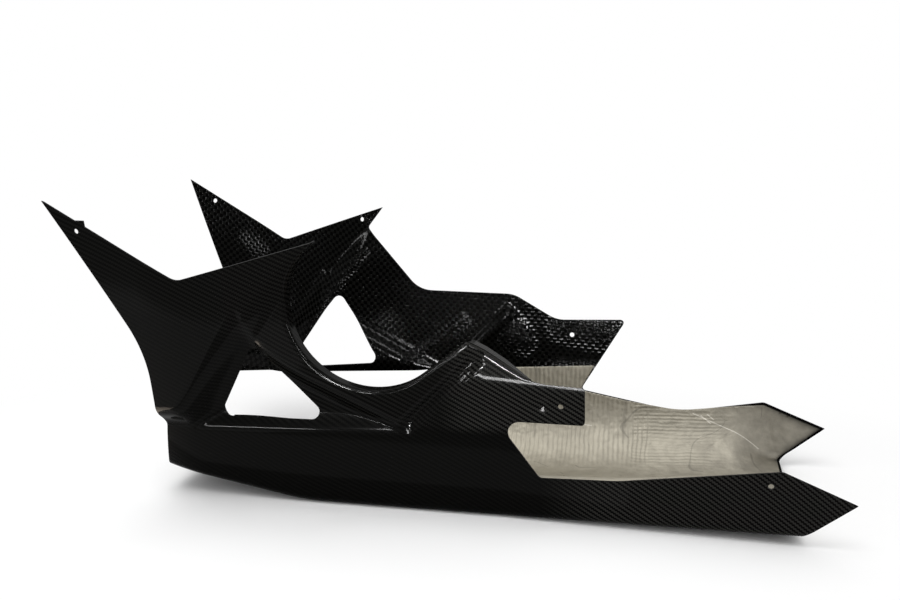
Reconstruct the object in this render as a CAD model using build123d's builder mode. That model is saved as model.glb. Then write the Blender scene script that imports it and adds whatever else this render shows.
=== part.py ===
"""Motorcycle belly pan: one thin moulded laminate shell with a heat foil stuck into its rear trough.

Frame: x to the rear of the bike, y to its right, z up, in millimetres. The keel lies on z = 0 and the
origin is below the middle of the length. Outlines are drawn as seen from the side, in x and z.
"""
import os
from math import atan, cos, degrees, hypot, radians, sin, tan

from build123d import *

# Laminate, foil and screw holes
WALL = 2.0  # thickness of the laminate
FOIL = 0.5  # thickness of the heat foil
FOIL_MARGIN = 3.0  # bare laminate left around the foil
SCREW_DIAMETER = 6.0
DRAIN_DIAMETER = 3.0

# Overall reach
LENGTH = 880.0  # from the front tips to the tail tips
TIP_HEIGHT = 362.0

# Section of the trough: keel, lower wall, ledge crease, upper wall
KEEL_HALF = 104.0  # half width at the sharp keel corner
KEEL_RADIUS = 12.0
LEDGE_HALF = 118.0  # half width at the ledge crease
LEDGE_HEIGHT = 104.0  # at mid length
LEDGE_RISE = 0.03  # rise of the ledge for each millimetre to the rear
UPPER_LEAN = 0.13  # outward lean of the upper wall for each millimetre up
TAIL_KEEL_FLARE = 20.0  # extra half width of the keel at the tail tips
TAIL_LEDGE_FLARE = 8.0  # the same at the ledge
NOSE_START = -170.0  # where the keel starts to rise forward
NOSE_RISE = 0.176
TAIL_START = 60.0  # where the keel starts to rise rearward
TAIL_RISE = 0.028
FRONT_TUCK = 9.0  # how far the keel turns in at the front of the trough
TUCK_LENGTH = 57.0

# Raised front panel: a surface that bulges in height and curves in towards the rear
PANEL_HALF = 140.0  # half width at its lower front corner
PANEL_FOOT = 112.0  # height of its lower crease
PANEL_LEAN = 0.1
PANEL_BULGE = 0.00022
PANEL_TOE = 0.1
PANEL_CURVE = 0.0012
PANEL_CREASE_SET = 35.0  # where the lower crease turns up into the diagonal one, back from the front edge
PANEL_CREASE_ANGLE = 50.0  # slope of the diagonal crease
PANEL_DRAFT = 34.0  # slope of the step around the panel

# Recesses in the upper wall, measured along the ledge and up the wall from it
POCKET_FRONT = -280.0
POCKET_REAR = -40.0
POCKET_KNEE = (-180.0, 74.0)
POCKET_APEX = (-209.0, 105.0)
POCKET_DEPTH = 12.0
POCKET_DRAFT = 45.0
GROOVE_FOOT = (-36.0, 9.0)
GROOVE_HEAD = (36.0, 80.0)
GROOVE_WIDTH = 20.0
GROOVE_DEPTH = 7.0
GROOVE_DRAFT = 50.0

# Side outline shared by both walls
VALLEY = (-287.0, 274.0)  # dip between the front tip and the horn
VALLEY_RADIUS = 18.0
FRONT_X = -338.0  # lower front edge of the raised panel
FRONT_KNEE_Z = 188.0
FRONT_KNEE_RADIUS = 150.0
LEDGE_FRONT_SET = 4.0  # front end of the ledge, measured back from that edge
CHIN_REACH = 10.0  # how far the trough's lower front corner stands before the panel's front edge
CHIN_RISE = 1.0  # height of that corner above the keel line
EDGE_RADIUS = 4.0
SHOULDER_SET = 75.0  # top corner of the tail, measured forward from the tail tip
SHOULDER_Z = 83.0
SHOULDER_RADIUS = 10.0
TAIL_TIP_Z = 52.0
HOOK_SET = 54.0  # rear edge of the keel, measured forward from the tail tip

# Left wall
RING_X = -78.0  # round cut-out
RING_Z = 241.0
RING_RADIUS = 93.0
RING_START = 124.0  # direction of the horn from the ring's centre
RING_END = 308.0  # direction in which the edge leaves the ring
LIP = 18.0  # depth of the edge turned in along the ring and the arm
PEAK = (33.0, 209.0)
ARM_KNEE = (105.0, 166.0)
ARM_KNEE_RADIUS = 60.0
ARM_END_X = 160.0
ARM_TOP_Z = 163.0
NOTCH_Z = 120.5  # underside of the arm
NOTCH_X = 62.5
NOTCH_RADIUS = 14.0
TAIL_ROOT = (110.0, 54.0)
TAIL_ROOT_RADIUS = 6.0
TAIL_SAG = (195.0, 57.5)
TAIL_SAG_RADIUS = 150.0
SPUR_SET = 38.0  # small hooked tab on the top edge, measured back from the front tip
SPUR_LENGTH = 12.0

# Right wall
RIGHT_TIP_SET = (11.0, -4.0)  # its front tip, from the left one
RIGHT_FRONT_X = -360.0  # its lower front edge
RIGHT_KNEE_Z = 184.0
HORN_TIP = (-139.0, 323.0)
HORN_BACK = (-160.0, 296.0)
SADDLE_FRONT = (-86.0, 214.0)
SADDLE_REAR = (43.0, 212.0)
SADDLE_RADIUS = 40.0
RIGHT_ARM_KNEE = (100.0, 180.0)
RIGHT_ARM_TIP = (190.5, 182.5)
VEE = (134.0, 90.0)  # where the arm's rear edge meets the tail
TAIL_DIP = (260.0, 66.0)
TAIL_DIP_RADIUS = 120.0
SILL_HEIGHT = 2.5  # wall left above the keel at the front of the open stretch
SILL_REAR = (-228.0, 28.0)
SILL_RADIUS = 60.0
OPEN_REAR_X = -45.0  # where the open stretch ends
FOOT_HEIGHT = 113.0  # height of its upper edge at mid length, which the foil's edge carries on
FOOT_RISE = 0.0595

# Window in each wall: lower front corner, lower rear corner, upper corner
LEFT_WINDOW = ((-269.0, 104.0), (-134.0, 107.0), (-218.0, 197.0))
RIGHT_WINDOW = ((-272.0, 103.5), (-136.0, 116.5), (-199.5, 209.5))
WINDOW_RADIUS = 9.0

# Places of the holes, as steps in x and z from a corner of the outline
LEFT_FRONT_SCREW_SET = (38.0, -34.0)  # from the left front tip
RIGHT_FRONT_SCREW_SET = (37.0, -30.0)  # from the right front tip
HORN_SCREW_SET = (-30.0, -17.0)  # from the right horn's tip
LEFT_ARM_SCREW_SET = (-26.0, 20.5)  # from the left arm's lower rear corner
RIGHT_ARM_SCREW_SET = (-69.5, -21.5)  # from the right arm's tip
TAIL_SCREW_SET = (-86.0, 14.0)  # from the tail tip
DRAIN_SET = (16.0, 7.0)  # from the chin

# Foil
FOIL_FRONT_X = -58.0
FOIL_STEP_X = -10.0  # where its right edge rises over the ledge
FOIL_STEP_LENGTH = 10.0

# Values worked out from the sizes above
TIP_X = -LENGTH / 2
TAIL_X = LENGTH / 2
REACH = LENGTH  # longer and wider than anything that is trimmed
BEYOND = 20.0  # how far the form runs past its trimmed edges
FORM_TOP = TIP_HEIGHT + BEYOND
CHIN_X = FRONT_X - CHIN_REACH
TUCK_START = CHIN_X + TUCK_LENGTH
PANEL_CREASE_X = FRONT_X + PANEL_CREASE_SET


def ledge_height(x):
    return LEDGE_HEIGHT + LEDGE_RISE * x


def foot_height(x):
    return FOOT_HEIGHT + FOOT_RISE * x


def keel_height(x):
    return NOSE_RISE * max(NOSE_START - x, 0) + TAIL_RISE * max(x - TAIL_START, 0)


def tail_share(x):
    """How far along the tail x is, from 0 at its start to 1 at its tips."""
    return max(x - TAIL_START, 0) / (TAIL_X - TAIL_START)


def tuck_share(x):
    """How far along the tuck x is, from 0 at its start to 1 at the chin."""
    return min(max(TUCK_START - x, 0) / TUCK_LENGTH, 1)


def keel_half(x):
    return KEEL_HALF + TAIL_KEEL_FLARE * tail_share(x) - FRONT_TUCK * tuck_share(x) ** 2


def upper_half(x, z):
    return LEDGE_HALF + TAIL_LEDGE_FLARE * tail_share(x) + UPPER_LEAN * (z - ledge_height(x))


def panel_half(x, z):
    """Half width of the raised front panel's surface."""
    up = z - PANEL_FOOT
    back = x - FRONT_X
    bulge = PANEL_LEAN * up + PANEL_BULGE * up * abs(up)
    return PANEL_HALF + bulge + PANEL_TOE * back - PANEL_CURVE * max(back, 0) ** 2


def trough_section(x, inset):
    """Corner points of the section at x on its right side, from the keel up, moved inward by inset."""
    ledge = ledge_height(x)
    keel = keel_height(x)
    lower_lean = (upper_half(x, ledge) - keel_half(x)) / (ledge - keel)
    lower_shift = inset * hypot(1, lower_lean)
    upper_shift = inset * hypot(1, UPPER_LEAN)
    crease = inset * inset * (lower_lean + UPPER_LEAN) / (lower_shift + upper_shift) if inset else 0
    return [
        (keel_half(x) + lower_lean * inset - lower_shift, keel + inset),
        (upper_half(x, ledge + crease) - upper_shift, ledge + crease),
        (upper_half(x, FORM_TOP + inset) - upper_shift, FORM_TOP + inset),
    ]


def trough_form(inset):
    """Solid form of the trough and the upper walls, every face moved inward by inset."""
    tuck_stations = [CHIN_X, CHIN_X + TUCK_LENGTH / 3, TUCK_START - TUCK_LENGTH / 3, TUCK_START]
    stations = [TIP_X - BEYOND, *tuck_stations, NOSE_START, TAIL_START, TAIL_X + BEYOND]
    with BuildPart() as form:
        for x in stations:
            right = trough_section(x, inset)
            left = [(-y, z) for y, z in reversed(right)]
            round_keel = max(KEEL_RADIUS - inset, 0)
            with BuildSketch(Plane.YZ.offset(x)):
                with BuildLine():
                    FilletPolyline(*right, *left, radius=[round_keel, 0, 0, 0, 0, round_keel], close=True)
                make_face()
        loft(ruled=True)
    return form.part


def panel_skin(inset):
    """Solid between the two raised panels' surfaces, which bulge in height and curve in to the rear."""
    heights = (LEDGE_HEIGHT - BEYOND, (LEDGE_HEIGHT + TIP_HEIGHT) / 2, FORM_TOP + inset)
    with BuildPart() as skin:
        for x in (TIP_X - BEYOND, FRONT_X, VALLEY[0], RING_X - RING_RADIUS, RING_X):
            low, middle, high = [(panel_half(x, z) - inset, z) for z in heights]
            with BuildSketch(Plane.YZ.offset(x)):
                with BuildLine():
                    outer = ThreePointArc(low, middle, high)
                    mirror(outer, about=Plane.YZ)
                    Line(low, (-low[0], low[1]))
                    Line(high, (-high[0], high[1]))
                make_face()
        loft()
    return skin.part


def panel_form(inset):
    """Solid form of both raised front panels with the sloping step around them, moved inward by inset."""
    draft = radians(PANEL_DRAFT)
    floor = LEDGE_HALF - BEYOND
    spread = (PANEL_HALF - floor) * tan(draft) - inset / cos(draft)
    crease_top = FORM_TOP + BEYOND
    crease_top_x = PANEL_CREASE_X + (crease_top - PANEL_FOOT) / tan(radians(PANEL_CREASE_ANGLE))
    with BuildPart() as form:
        with BuildSketch(Plane.XZ.offset(floor)):
            with BuildLine():
                Polyline(
                    (TIP_X - REACH, PANEL_FOOT),
                    (PANEL_CREASE_X, PANEL_FOOT),
                    (crease_top_x, crease_top),
                    (TIP_X - REACH, crease_top),
                    close=True,
                )
            make_face()
            offset(amount=spread, kind=Kind.INTERSECTION)
        extrude(amount=floor, taper=PANEL_DRAFT)
        mirror(about=Plane.XZ)
        add(panel_skin(inset), mode=Mode.INTERSECT)
    return form.part


def recess_form(inset):
    """Solid that hollows out the left upper wall: the window pocket and the groove at the arm's root.

    It is drawn on the wall's own plane, a little outside it, with x along the ledge and y up the wall.
    """
    along = Vector(1, 0, LEDGE_RISE)
    outward = along.cross(Vector(0, -UPPER_LEAN, 1)).normalized()
    on_ledge = Vector(0, -LEDGE_HALF, LEDGE_HEIGHT)
    start = Plane(on_ledge + outward * (BEYOND - inset), x_dir=along, z_dir=outward)

    def growth(draft):
        """How much larger the outline is at the start than where it cuts the wall."""
        slope = radians(draft)
        return BEYOND * tan(slope) + inset * (1 - sin(slope)) / cos(slope)

    groove = Vector(*GROOVE_HEAD) - Vector(*GROOVE_FOOT)
    middle = (Vector(*GROOVE_HEAD) + Vector(*GROOVE_FOOT)) * 0.5
    with BuildPart() as form:
        with BuildSketch(start):
            with BuildLine():
                Polyline((POCKET_FRONT, 0), (POCKET_REAR, 0), POCKET_KNEE, POCKET_APEX, close=True)
            make_face()
            offset(amount=growth(POCKET_DRAFT), kind=Kind.INTERSECTION)
        extrude(amount=-POCKET_DEPTH - BEYOND, taper=POCKET_DRAFT)
        with BuildSketch(start):
            with Locations((middle.X, middle.Y)):
                turn = degrees(atan(groove.Y / groove.X))
                Rectangle(groove.length, GROOVE_WIDTH, rotation=turn)
            offset(amount=growth(GROOVE_DRAFT), kind=Kind.INTERSECTION)
        extrude(amount=-GROOVE_DEPTH - BEYOND, taper=GROOVE_DRAFT)
    return form.part


def pan_form(inset):
    """Solid form of the whole pan, every face moved inward by inset."""
    with BuildPart() as form:
        add(trough_form(inset))
        add(panel_form(inset))
        recess = recess_form(inset)
        add(recess, mode=Mode.SUBTRACT)
        add(mirror(recess, about=Plane.XZ, mode=Mode.PRIVATE), mode=Mode.SUBTRACT)
    return form.part


def on_edge(start, end, x):
    """Height at x on the straight edge from start to end."""
    return start[1] + (end[1] - start[1]) * (x - start[0]) / (end[0] - start[0])


def beside(corner, step):
    """The point one step from a corner."""
    return (corner[0] + step[0], corner[1] + step[1])


TIP = (TIP_X, TIP_HEIGHT)
TAIL_TIP = (TAIL_X, TAIL_TIP_Z)
TAIL_SHOULDER = (TAIL_X - SHOULDER_SET, SHOULDER_Z)
RIGHT_TIP = beside(TIP, RIGHT_TIP_SET)
CHIN = (CHIN_X, keel_height(CHIN_X) + CHIN_RISE)
ARM_REAR_TOP = (ARM_END_X, ARM_TOP_Z)
ARM_REAR_FOOT = (ARM_END_X, NOTCH_Z)
FRONT_KNEE = (FRONT_X, FRONT_KNEE_Z)
RIGHT_KNEE = (RIGHT_FRONT_X, RIGHT_KNEE_Z)
LEDGE_FRONT_X = FRONT_X + LEDGE_FRONT_SET
PAN_FRONT_TOP = (LEDGE_FRONT_X, ledge_height(LEDGE_FRONT_X))
TAIL_HOOK = (TAIL_X - HOOK_SET, keel_height(TAIL_X - HOOK_SET))
below_hook = (TAIL_HOOK[1] + BEYOND) / (TAIL_TIP[1] - TAIL_HOOK[1])
REAR_BELOW = (TAIL_HOOK[0] - below_hook * (TAIL_TIP[0] - TAIL_HOOK[0]), -BEYOND)
CHIN_BELOW = (CHIN_X, -BEYOND)
SPUR_FOOT = (TIP_X + SPUR_SET, on_edge(TIP, VALLEY, TIP_X + SPUR_SET))
SPUR_TIP = (SPUR_FOOT[0] + SPUR_LENGTH, SPUR_FOOT[1])
SPUR_HEEL = (SPUR_TIP[0], on_edge(TIP, VALLEY, SPUR_TIP[0]))
SILL_FRONT = (CHIN_X, keel_height(CHIN_X) + SILL_HEIGHT)
OPEN_REAR = (OPEN_REAR_X, foot_height(OPEN_REAR_X))
OPEN_FRONT = (RIGHT_FRONT_X, foot_height(RIGHT_FRONT_X))
LEFT_FRONT_SCREW = beside(TIP, LEFT_FRONT_SCREW_SET)
RIGHT_FRONT_SCREW = beside(RIGHT_TIP, RIGHT_FRONT_SCREW_SET)
HORN_SCREW = beside(HORN_TIP, HORN_SCREW_SET)
LEFT_ARM_SCREW = beside(ARM_REAR_FOOT, LEFT_ARM_SCREW_SET)
RIGHT_ARM_SCREW = beside(RIGHT_ARM_TIP, RIGHT_ARM_SCREW_SET)
TAIL_SCREW = beside(TAIL_TIP, TAIL_SCREW_SET)
DRAIN = beside(CHIN, DRAIN_SET)


def left_outline(margin=0):
    """Side outline of the left wall, drawn inside its true edge by margin."""
    with BuildSketch(Plane.XZ) as outline:
        with BuildLine():
            ring = CenterArc((RING_X, RING_Z), RING_RADIUS, RING_START, RING_END - RING_START)
            corners = [
                (PEAK, EDGE_RADIUS),
                (ARM_KNEE, ARM_KNEE_RADIUS),
                (ARM_REAR_TOP, EDGE_RADIUS),
                (ARM_REAR_FOOT, EDGE_RADIUS),
                ((NOTCH_X, NOTCH_Z), NOTCH_RADIUS),
                (TAIL_ROOT, TAIL_ROOT_RADIUS),
                (TAIL_SAG, TAIL_SAG_RADIUS),
                (TAIL_SHOULDER, SHOULDER_RADIUS),
                (TAIL_TIP, 0),
                (REAR_BELOW, 0),
                (CHIN_BELOW, 0),
                (CHIN, 0),
                (PAN_FRONT_TOP, 0),
                (FRONT_KNEE, FRONT_KNEE_RADIUS),
                (TIP, 0),
                (SPUR_FOOT, 0),
                (SPUR_TIP, 0),
                (SPUR_HEEL, 0),
                (VALLEY, VALLEY_RADIUS),
            ]
            points, radii = zip(*corners)
            FilletPolyline(ring @ 1, *points, ring @ 0, radius=radii)
        make_face()
        if margin:
            offset(amount=-margin)
    return outline.sketch


def right_outline(margin=0):
    """Side outline of the right wall, drawn inside its true edge by margin."""
    corners = [
        (RIGHT_TIP, 0),
        (VALLEY, VALLEY_RADIUS),
        (HORN_TIP, 0),
        (HORN_BACK, EDGE_RADIUS),
        (SADDLE_FRONT, SADDLE_RADIUS),
        (SADDLE_REAR, SADDLE_RADIUS),
        (RIGHT_ARM_KNEE, SADDLE_RADIUS),
        (RIGHT_ARM_TIP, EDGE_RADIUS),
        (VEE, EDGE_RADIUS),
        (TAIL_DIP, TAIL_DIP_RADIUS),
        (TAIL_SHOULDER, SHOULDER_RADIUS),
        (TAIL_TIP, 0),
        (REAR_BELOW, 0),
        (CHIN_BELOW, 0),
        (SILL_FRONT, 0),
        (SILL_REAR, SILL_RADIUS),
        (OPEN_REAR, EDGE_RADIUS),
        (OPEN_FRONT, 0),
        (RIGHT_KNEE, FRONT_KNEE_RADIUS),
    ]
    points, radii = zip(*corners)
    with BuildSketch(Plane.XZ) as outline:
        with BuildLine():
            FilletPolyline(*points, radius=radii, close=True)
        make_face()
        if margin:
            offset(amount=-margin)
    return outline.sketch


def side_walls(margin=0):
    """Solid that holds everything inside the two side outlines, the left one on the left of the middle."""
    with BuildPart() as walls:
        extrude(left_outline(margin), amount=REACH)
        extrude(right_outline(margin), amount=-REACH)
    return walls.part


# Laminate shell: the form less the same form moved inward, with the lip, trimmed to the side outlines
with BuildPart() as edge_lip:
    with BuildSketch(Plane.XZ):
        with BuildLine():
            ring = CenterArc((RING_X, RING_Z), RING_RADIUS, RING_START, RING_END - RING_START)
            Polyline(ring @ 1, PEAK, ARM_KNEE)
        trace(line_width=2 * WALL)
    extrude(amount=REACH)
    add(trough_form(0), mode=Mode.INTERSECT)
    add(trough_form(LIP), mode=Mode.SUBTRACT)

with BuildPart() as pan_shell:
    add(pan_form(0))
    add(pan_form(WALL), mode=Mode.SUBTRACT)
    add(edge_lip.part)
    add(side_walls(), mode=Mode.INTERSECT)
    with BuildSketch(Plane.XZ):
        with BuildLine():
            FilletPolyline(*LEFT_WINDOW, radius=WINDOW_RADIUS, close=True)
        make_face()
        with Locations(LEFT_FRONT_SCREW, LEFT_ARM_SCREW, TAIL_SCREW):
            Circle(SCREW_DIAMETER / 2)
        with Locations(DRAIN):
            Circle(DRAIN_DIAMETER / 2)
    extrude(amount=REACH, mode=Mode.SUBTRACT)
    with BuildSketch(Plane.XZ):
        with BuildLine():
            FilletPolyline(*RIGHT_WINDOW, radius=WINDOW_RADIUS, close=True)
        make_face()
        with Locations(RIGHT_FRONT_SCREW, HORN_SCREW, RIGHT_ARM_SCREW):
            Circle(SCREW_DIAMETER / 2)
    extrude(amount=-REACH, mode=Mode.SUBTRACT)

# Heat foil on the inner face of the rear trough, clear of the screw hole: up to just below the ledge on
# the left, and up to the line of the open stretch's upper edge on the right
FOIL_FOOT = [(FOIL_FRONT_X, -BEYOND), (TAIL_X, -BEYOND)]
FOIL_FRONT_TOP = (FOIL_FRONT_X, ledge_height(FOIL_FRONT_X) - FOIL_MARGIN)
FOIL_STEP_TOP_X = FOIL_STEP_X + FOIL_STEP_LENGTH
with BuildPart() as heat_foil:
    with BuildSketch(Plane.XZ):
        with BuildLine():
            Polyline(*FOIL_FOOT, (TAIL_X, ledge_height(TAIL_X) - FOIL_MARGIN), FOIL_FRONT_TOP, close=True)
        make_face()
    extrude(amount=REACH)
    with BuildSketch(Plane.XZ):
        with BuildLine():
            Polyline(
                *FOIL_FOOT,
                (TAIL_X, foot_height(TAIL_X)),
                (FOIL_STEP_TOP_X, foot_height(FOIL_STEP_TOP_X)),
                (FOIL_STEP_X, ledge_height(FOIL_STEP_X) - FOIL_MARGIN),
                FOIL_FRONT_TOP,
                close=True,
            )
        make_face()
    extrude(amount=-REACH)
    add(side_walls(FOIL_MARGIN), mode=Mode.INTERSECT)
    with BuildSketch(Plane.XZ):
        with Locations(TAIL_SCREW):
            Circle(SCREW_DIAMETER / 2 + FOIL_MARGIN)
    extrude(amount=REACH, mode=Mode.SUBTRACT)
    add(trough_form(WALL), mode=Mode.INTERSECT)
    add(trough_form(WALL + FOIL), mode=Mode.SUBTRACT)

os.makedirs("parts", exist_ok=True)
pan_shell.part.label = "pan_shell"
export_step(pan_shell.part, "parts/pan_shell.step")
heat_foil.part.label = "heat_foil"
export_step(heat_foil.part, "parts/heat_foil.step")
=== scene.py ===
from math import ceil, cos, pi, radians, sin, tan

import bpy
import numpy as np
from mathutils import Matrix, Vector, geometry, kdtree


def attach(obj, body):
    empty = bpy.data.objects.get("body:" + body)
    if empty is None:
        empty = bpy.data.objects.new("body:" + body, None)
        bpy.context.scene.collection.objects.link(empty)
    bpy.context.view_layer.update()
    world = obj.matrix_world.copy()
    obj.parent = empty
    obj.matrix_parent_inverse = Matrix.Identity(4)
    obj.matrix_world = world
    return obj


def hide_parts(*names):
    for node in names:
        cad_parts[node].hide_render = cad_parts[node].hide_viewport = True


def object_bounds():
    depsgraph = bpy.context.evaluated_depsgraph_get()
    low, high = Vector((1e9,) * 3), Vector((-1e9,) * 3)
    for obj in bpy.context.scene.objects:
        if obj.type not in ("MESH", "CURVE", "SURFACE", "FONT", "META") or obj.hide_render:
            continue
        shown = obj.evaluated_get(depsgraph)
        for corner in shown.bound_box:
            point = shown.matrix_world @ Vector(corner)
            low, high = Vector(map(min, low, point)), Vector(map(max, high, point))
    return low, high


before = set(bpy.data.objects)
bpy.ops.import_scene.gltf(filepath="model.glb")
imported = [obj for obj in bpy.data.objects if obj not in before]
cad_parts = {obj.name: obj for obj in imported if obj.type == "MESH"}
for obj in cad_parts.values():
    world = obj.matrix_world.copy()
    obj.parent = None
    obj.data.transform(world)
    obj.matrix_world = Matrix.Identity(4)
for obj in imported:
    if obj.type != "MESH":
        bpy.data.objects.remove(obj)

cad_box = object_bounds()

# Carbon shell, its form.
# One thin laminate of woven carbon cloth in resin, laid up in a mould and trimmed to its outline.
# A flat floor turns up into two walls that fold out at a ledge, each with a raised front panel.
MM = 0.001
WALL = 2.0
FLOOR_REACH = 94.0
KEEL_HALF = 104.0
KEEL_RADIUS = 12.0
NOSE_START, NOSE_RISE, NOSE_BEND = -170.0, 0.176, 4.0
TAIL_START, TAIL_RISE, TAIL_BEND = 60.0, 0.028, 0.8
TAIL_X = 440.0
TAIL_KEEL_FLARE = 20.0
TAIL_LEDGE_FLARE = 8.0
CHIN_X = -348.0
TUCK_LENGTH, FRONT_TUCK = 57.0, 9.0
LEDGE_HALF, LEDGE_HEIGHT, LEDGE_RISE, LEDGE_BEND = 118.0, 104.0, 0.03, 12.0
UPPER_LEAN = 0.13
FRONT_X = -338.0
PANEL_HALF, PANEL_FOOT, PANEL_LEAN, PANEL_BULGE = 140.0, 112.0, 0.1, 0.00021
PANEL_TOE, PANEL_CURVE = 0.1, 0.0012
PANEL_CREASE_X, PANEL_CREASE_ANGLE, PANEL_DRAFT, PANEL_BEND = -303.0, radians(50), radians(34), 12.0
POCKET = ((-294.0, -1.0), (-40.0, 0.0), (-180.0, 74.0), (-220.0, 112.0))
POCKET_DEPTH, POCKET_BEND = 12.0, 9.0
GROOVE_FOOT, GROOVE_HEAD = (-36.0, 9.0), (36.0, 80.0)
GROOVE_HALF, GROOVE_DEPTH, GROOVE_DRAFT, GROOVE_BEND = 10.0, 7.0, radians(50), 3.0
RIDGE_X, RIDGE_Z, RIDGE_FALL, RIDGE_LEAN, RIDGE_BEND = 50.0, 166.0, 0.08, 0.34, 9.0
RIDGE_RUN_IN = 30.0
LEFT_DIMPLE, RIGHT_BULGE = (115.0, 142.5, 3.0, 8.0), (46.0, 158.0, 5.0, 15.0)


def soft_min(first, second, rounding):
    """The smaller of two values, with the corner between them rounded off."""
    overlap = np.maximum(rounding - np.abs(first - second), 0) / rounding
    return np.minimum(first, second) - overlap ** 2 * rounding / 4


def soft_max(first, second, rounding):
    return -soft_min(-first, -second, rounding)


def keel_height(x):
    nose = soft_max(NOSE_RISE * (NOSE_START - x), 0.0 * x, NOSE_BEND)
    tail = soft_max(TAIL_RISE * (x - TAIL_START), 0.0 * x, TAIL_BEND)
    return nose + tail


def ledge_height(x):
    return LEDGE_HEIGHT + LEDGE_RISE * x


def tail_share(x):
    return np.maximum(x - TAIL_START, 0) / (TAIL_X - TAIL_START)


def keel_half(x):
    tuck = np.clip((CHIN_X + TUCK_LENGTH - x) / TUCK_LENGTH, 0, 1)
    return KEEL_HALF + TAIL_KEEL_FLARE * tail_share(x) - FRONT_TUCK * tuck ** 2


def lower_lean(x):
    ledge_half = LEDGE_HALF + TAIL_LEDGE_FLARE * tail_share(x)
    return (ledge_half - keel_half(x)) / (ledge_height(x) - keel_height(x))


def inside_edge(x, z, start, end):
    """Distance of a point to the left of the line from start to end."""
    along = np.array(end) - np.array(start)
    along = along / np.hypot(*along)
    return along[0] * (z - start[1]) - along[1] * (x - start[0])


def panel_half(x, z):
    """Half width of the raised front panel, with the sloping step around it."""
    up, back = z - PANEL_FOOT, x - FRONT_X
    face = PANEL_HALF + PANEL_LEAN * up + PANEL_BULGE * up * np.abs(up)
    face = face + PANEL_TOE * back - PANEL_CURVE * np.maximum(back, 0) ** 2
    slope = 1 / tan(PANEL_DRAFT)
    diagonal = cos(PANEL_CREASE_ANGLE) * up - sin(PANEL_CREASE_ANGLE) * (x - PANEL_CREASE_X)
    step = soft_min(PANEL_HALF + slope * diagonal, PANEL_HALF + slope * up, PANEL_BEND)
    return soft_min(face, step, PANEL_BEND)


def recess_half(x, z, plain):
    """Half width of the window pocket and of the groove at the arm's root, cut into the plain wall."""
    up = z - ledge_height(x)
    front, rear, knee, apex = POCKET
    within = soft_max(inside_edge(x, up, rear, knee), inside_edge(x, up, knee, apex), POCKET_BEND)
    within = soft_min(within, inside_edge(x, up, apex, front), POCKET_BEND)
    within = soft_min(within, inside_edge(x, up, front, rear), POCKET_BEND)
    pocket = plain - soft_min(within, 0 * x + POCKET_DEPTH, POCKET_BEND)
    beside = GROOVE_HALF - np.abs(inside_edge(x, up, GROOVE_FOOT, GROOVE_HEAD))
    along = np.array(GROOVE_HEAD) - np.array(GROOVE_FOOT)
    across = (-along[1], along[0])
    from_foot = inside_edge(x, up, GROOVE_FOOT, np.array(GROOVE_FOOT) - across)
    from_head = inside_edge(x, up, GROOVE_HEAD, np.array(GROOVE_HEAD) + across)
    beside = soft_min(beside, soft_min(from_foot, from_head, GROOVE_BEND) + GROOVE_HALF, GROOVE_BEND)
    groove = plain - soft_min(beside / tan(GROOVE_DRAFT), 0 * x + GROOVE_DEPTH, GROOVE_BEND)
    return pocket, groove


def round_mark(x, z, mark):
    """A small round dent or bulge, as (x, z, depth, radius)."""
    return mark[2] * np.exp(-((x - mark[0]) ** 2 + (z - mark[1]) ** 2) / mark[3] ** 2)


def wall_half(x, z, side):
    """Half width of the pan at a point of its wall, on the left where side is -1."""
    above = z - ledge_height(x)
    plain = LEDGE_HALF + TAIL_LEDGE_FLARE * tail_share(x) + UPPER_LEAN * above
    folded = plain + (lower_lean(x) - UPPER_LEAN) * soft_min(above, 0 * x, LEDGE_BEND)
    half = soft_max(folded, panel_half(x, z), PANEL_BEND)
    pocket, groove = recess_half(x, z, plain)
    half = soft_min(soft_min(half, pocket, POCKET_BEND), groove, GROOVE_BEND)
    over_ridge = z - RIDGE_Z + RIDGE_FALL * (x - RIDGE_X)
    turned = np.clip((x - RIDGE_X + RIDGE_RUN_IN) / RIDGE_RUN_IN, 0, 1) * RIDGE_LEAN
    left = half - turned * soft_max(over_ridge, 0 * x, RIDGE_BEND) - round_mark(x, z, LEFT_DIMPLE)
    right = half - round_mark(x, z, RIGHT_BULGE)
    return np.where(side < 0, left, right)


# Carbon shell, its outlines.
# Each wall is trimmed to an outline of straight edges and arcs, as seen from the side in x and z.
# Along the ring and the top of the arm the left wall's edge is turned in as a narrow flange.
EDGE_STEP, RING_STEPS, HOLE_STEPS = 2.5, 200, 20
BOX_GAP, NORMAL_REACH = 0.01, 1.2
TIP, VALLEY, TAIL_TIP, SHOULDER = (-440.0, 362.0), (-287.0, 274.0), (440.0, 52.0), (365.0, 83.0)
NOSE_CORNER, FRONT_KNEE_Z, HOOK_X = (-334.0, 94.0), 188.0, 386.0
SPUR_FROM, SPUR_LENGTH = 38.0, 12.0
CORNER, FRONT_BEND, VALLEY_BEND, KNEE_BEND, SHOULDER_BEND = 4.0, 150.0, 18.0, 60.0, 10.0
RING_CENTRE, RING_RADIUS, RING_FROM, RING_TO = (-78.0, 241.0), 93.0, radians(124), radians(308)
PEAK, ARM_KNEE, ARM_END_X, ARM_TOP_Z, NOTCH_Z = (33.0, 209.0), (105.0, 166.0), 160.0, 163.0, 120.5
NOTCH_X, NOTCH_BEND = 62.5, 14.0
OPENING_FOOT, OPENING_SAG = (110.0, 54.0, 6.0), (195.0, 57.5, 150.0)
FLANGE, FLANGE_ROLL, FLANGE_FADE = 18.0, 5.0, 36.0
FLANGE_LEAST, FLANGE_END_SLACK, POINTS_AT_ONCE = 0.001, 0.5, 4000
RIGHT_TIP, RIGHT_FRONT_X, RIGHT_KNEE_Z = (-429.0, 358.0), -360.0, 184.0
SILL_HEIGHT, SILL_REAR, FOOT_FRONT_X = 2.5, (-228.0, 28.0, 60.0), -45.0
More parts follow.
